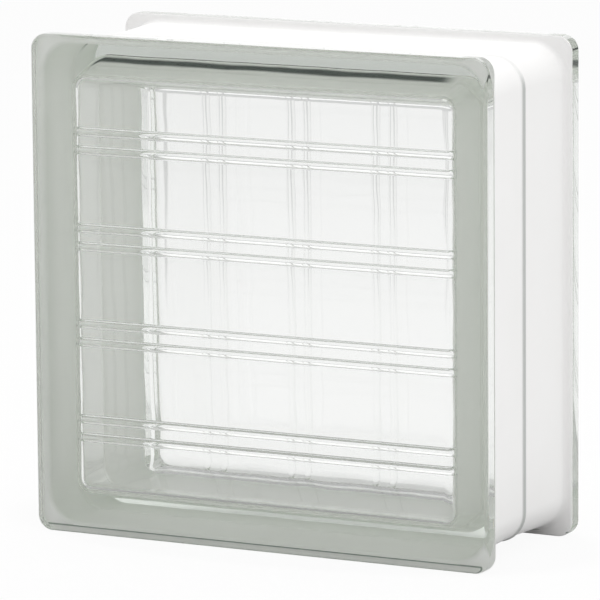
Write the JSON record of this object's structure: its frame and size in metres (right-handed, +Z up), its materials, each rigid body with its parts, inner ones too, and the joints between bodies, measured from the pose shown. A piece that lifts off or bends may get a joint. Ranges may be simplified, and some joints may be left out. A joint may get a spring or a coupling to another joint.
{
  "type": "glass block",
  "caption": "Square hollow glass wall block with flanged faces, white painted recessed edges and paired ribs pressed inside, level in front and upright behind.",
  "frame": {"origin": "centre of the block's footprint, on the surface it stands on", "axes": "+Z up, +Y through the block from the front face, whose ribs are level, to the rear face; +X to the right seen from the front"},
  "size_m": [0.19, 0.08, 0.19],
  "materials": {
    "pressed_glass": "clear, smooth, fire polished",
    "white_edge_paint": "matt white paint"
  },
  "bodies": {
    "root": {"glass_body": "pressed_glass", "edge_coating": "white_edge_paint"}
  },
  "joints": []
}
